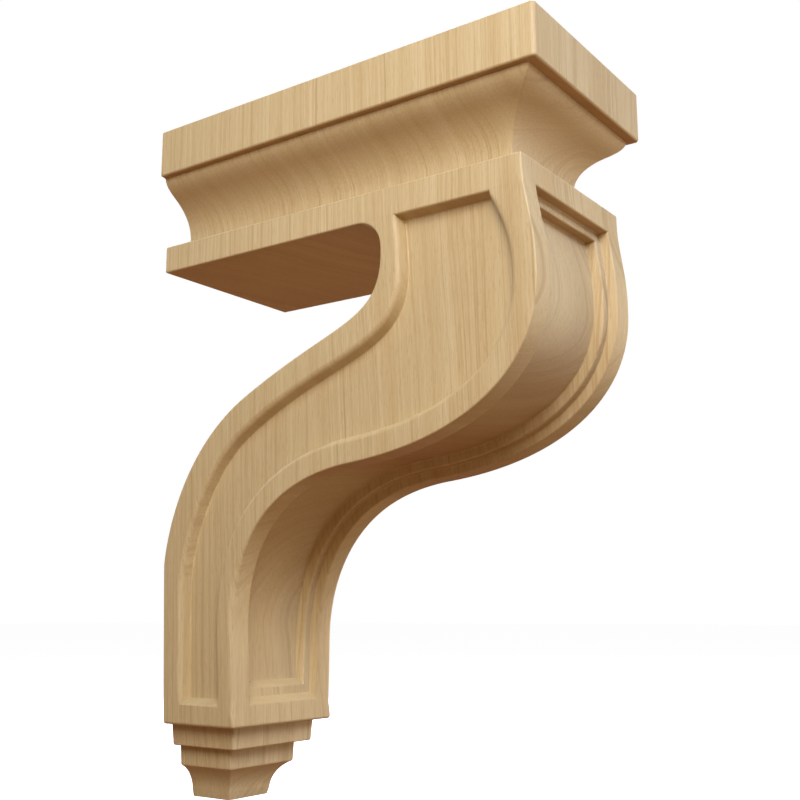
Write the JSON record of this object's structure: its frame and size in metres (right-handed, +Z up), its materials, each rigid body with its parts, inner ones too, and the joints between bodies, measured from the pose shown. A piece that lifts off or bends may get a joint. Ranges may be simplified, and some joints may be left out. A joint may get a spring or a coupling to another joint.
{
  "type": "wooden corbel bracket",
  "caption": "Carved wooden corbel: a moulded cap on a block over an S-shaped bracket with sunk panels and a stepped drop, fixed to a wall to carry a shelf or worktop.",
  "frame": {"origin": "middle of the corbel's flat back, on the wall plane, 63 mm below the top of the cap", "axes": "+Z up, +Y into the wall, so the front faces -Y; +X is to the right as seen from the front, and x = 0 is the plane of symmetry"},
  "size_m": [0.175, 0.3675, 0.56],
  "materials": {
    "sanded_maple": "sanded, unfinished, straight fine grain"
  },
  "bodies": {
    "root": {"corbel": "sanded_maple"}
  },
  "joints": []
}
